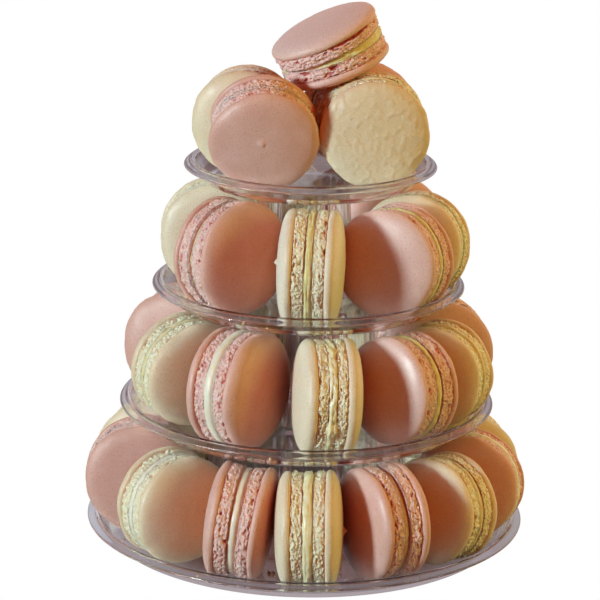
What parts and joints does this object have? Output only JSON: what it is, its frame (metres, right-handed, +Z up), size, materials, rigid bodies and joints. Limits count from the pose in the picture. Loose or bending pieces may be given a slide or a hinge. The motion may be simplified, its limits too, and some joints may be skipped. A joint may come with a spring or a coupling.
{
  "type": "macaron tower",
  "caption": "Tiered tower of clear moulded round plates on hollow hubs, each ringed with almond macarons standing on edge, with one macaron lying on top.",
  "frame": {"origin": "centre of the round base, on the surface that the tower stands on", "axes": "+Z up along the tower's middle line, -Y towards the picture's camera, +X to the camera's right"},
  "size_m": [0.18, 0.18, 0.2169],
  "materials": {
    "clear_plastic": "clear moulded plastic, thin walled, glossy",
    "rose_macaron": "satin baked almond shell with a porous ruffled foot",
    "vanilla_macaron": "satin baked almond shell with a porous ruffled foot"
  },
  "bodies": {
    "root": {"macaron_1_01_vanilla": "vanilla_macaron", "macaron_1_02_rose": "rose_macaron", "macaron_1_03_vanilla": "vanilla_macaron", "macaron_1_04_rose": "rose_macaron", "macaron_1_05_vanilla": "vanilla_macaron", "macaron_1_06_rose": "rose_macaron", "macaron_1_07_vanilla": "vanilla_macaron", "macaron_1_08_rose": "rose_macaron", "macaron_1_09_vanilla": "vanilla_macaron", "macaron_1_10_rose": "rose_macaron", "macaron_1_11_vanilla": "vanilla_macaron", "macaron_1_12_rose": "rose_macaron", "macaron_1_13_vanilla": "vanilla_macaron", "macaron_1_14_rose": "rose_macaron", "macaron_2_01_rose": "rose_macaron", "macaron_2_02_vanilla": "vanilla_macaron", "macaron_2_03_rose": "rose_macaron", "macaron_2_04_vanilla": "vanilla_macaron", "macaron_2_05_rose": "rose_macaron", "macaron_2_06_vanilla": "vanilla_macaron", "macaron_2_07_rose": "rose_macaron", "macaron_2_08_vanilla": "vanilla_macaron", "macaron_2_09_rose": "rose_macaron", "macaron_2_10_vanilla": "vanilla_macaron", "macaron_3_01_vanilla": "vanilla_macaron", "macaron_3_02_rose": "rose_macaron", "macaron_3_03_vanilla": "vanilla_macaron", "macaron_3_04_rose": "rose_macaron", "macaron_3_05_vanilla": "vanilla_macaron", "macaron_3_06_rose": "rose_macaron", "macaron_3_07_vanilla": "vanilla_macaron", "macaron_4_01_rose": "rose_macaron", "macaron_4_02_vanilla": "vanilla_macaron", "macaron_4_03_rose": "rose_macaron", "macaron_4_04_vanilla": "vanilla_macaron", "macaron_on_top_rose": "rose_macaron", "plate_1": "clear_plastic", "plate_2": "clear_plastic", "plate_3": "clear_plastic", "plate_4": "clear_plastic"}
  },
  "joints": []
}
